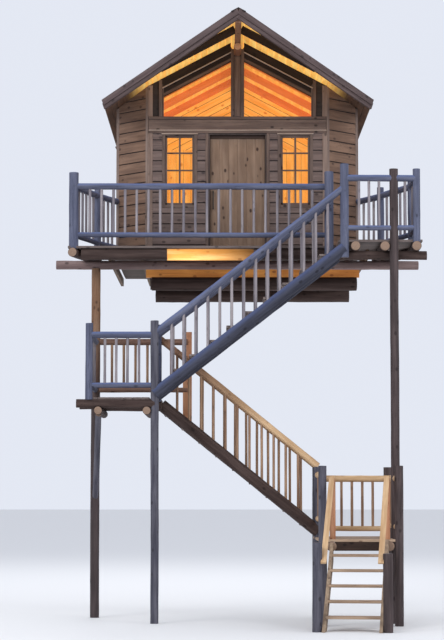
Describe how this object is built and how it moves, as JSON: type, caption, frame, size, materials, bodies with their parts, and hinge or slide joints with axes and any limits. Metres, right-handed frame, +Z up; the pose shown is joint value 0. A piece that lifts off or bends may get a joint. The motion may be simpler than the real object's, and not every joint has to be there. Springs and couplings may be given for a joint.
{
  "type": "tree house",
  "caption": "Log and board cabin with a prow gable roof on a railed log deck, reached by log stairs with landings; its posts stand on the ground and its carrying logs rest in a tree",
  "frame": {"origin": "middle of the main post's foot, at ground level", "axes": "+Z up; -Y is the front, with the door, the glazed gable and the stairs; +X runs to the right seen from the front"},
  "size_m": [6.12, 8.7081, 10],
  "materials": {
    "deck_log": "peeled log, weathered purple-brown grey, with checks and pale cut ends",
    "post_log": "peeled round log, weathered blue-grey",
    "rail_log": "peeled round log rail, weathered blue-grey",
    "sawn_timber": "sawn softwood, brown, open grain",
    "deck_boards": "sawn deck boards, grey-brown",
    "pale_rail": "new sawn softwood, pale yellow",
    "wall_boards": "horizontal rough-sawn siding, brown-grey",
    "door_wood": "knotty pine planks, warm grey-tan",
    "roof_covering": "dark wooden shingles",
    "roof_lining": "tongue-and-groove boards, golden orange",
    "glass": "clear sheet glass",
    "dark_iron": "black iron"
  },
  "bodies": {
    "house": {"back_wall": "wall_boards", "barge_boards": "sawn_timber", "bay_beam": "deck_log", "bay_logs": "deck_log", "bay_rails": "rail_log", "bottom_stair_handrails": "pale_rail", "bottom_stair_stringers": "sawn_timber", "bottom_stair_treads": "sawn_timber", "cabin_floor": "deck_boards", "carrying_logs": "deck_log", "deck_floor": "deck_boards", "deck_joists": "sawn_timber", "deck_rail_front": "rail_log", "deck_rail_posts": "post_log", "deck_rail_sides": "rail_log", "door_head": "door_wood", "door_jambs": "door_wood", "front_fascia": "sawn_timber", "front_wall_header": "wall_boards", "front_walls": "wall_boards", "gable_posts": "wall_boards", "gable_rafters": "sawn_timber", "glass_panes": "glass", "ground_posts": "post_log", "hinge_pins": "dark_iron", "landing_brace": "deck_log", "low_landing_beams": "deck_log", "low_landing_floor": "deck_boards", "low_landing_rails": "rail_log", "lower_flight_rails": "rail_log", "lower_flight_stringers": "rail_log", "lower_flight_treads": "sawn_timber", "main_beam": "deck_log", "main_post": "post_log", "mid_landing_cross_logs": "deck_log", "mid_landing_floor": "deck_boards", "mid_landing_logs": "deck_log", "mid_landing_newels": "post_log", "mid_landing_rails": "rail_log", "rafters": "sawn_timber", "ridge_beam": "sawn_timber", "ridge_log": "deck_log", "rim_logs": "deck_log", "roof_boards_left": "roof_lining", "roof_boards_right": "roof_lining", "roof_covering_left": "roof_covering", "roof_covering_right": "roof_covering", "sawn_beams": "sawn_timber", "sawn_newels": "sawn_timber", "side_walls": "wall_boards", "splay_walls": "wall_boards", "upper_flight_rails": "rail_log", "upper_flight_stringers": "rail_log", "upper_flight_treads": "sawn_timber", "window_frames": "door_wood"},
    "door": {"door": "door_wood", "door_pull": "dark_iron", "hinge_leaves": "dark_iron"}
  },
  "joints": [
    {"name": "door_swing", "type": "hinge", "parent": "house", "child": "door", "pos_m": [2.8805, 0.788, 7.2], "axis": [0, 0, -1], "range_deg": [0, 100]}
  ]
}
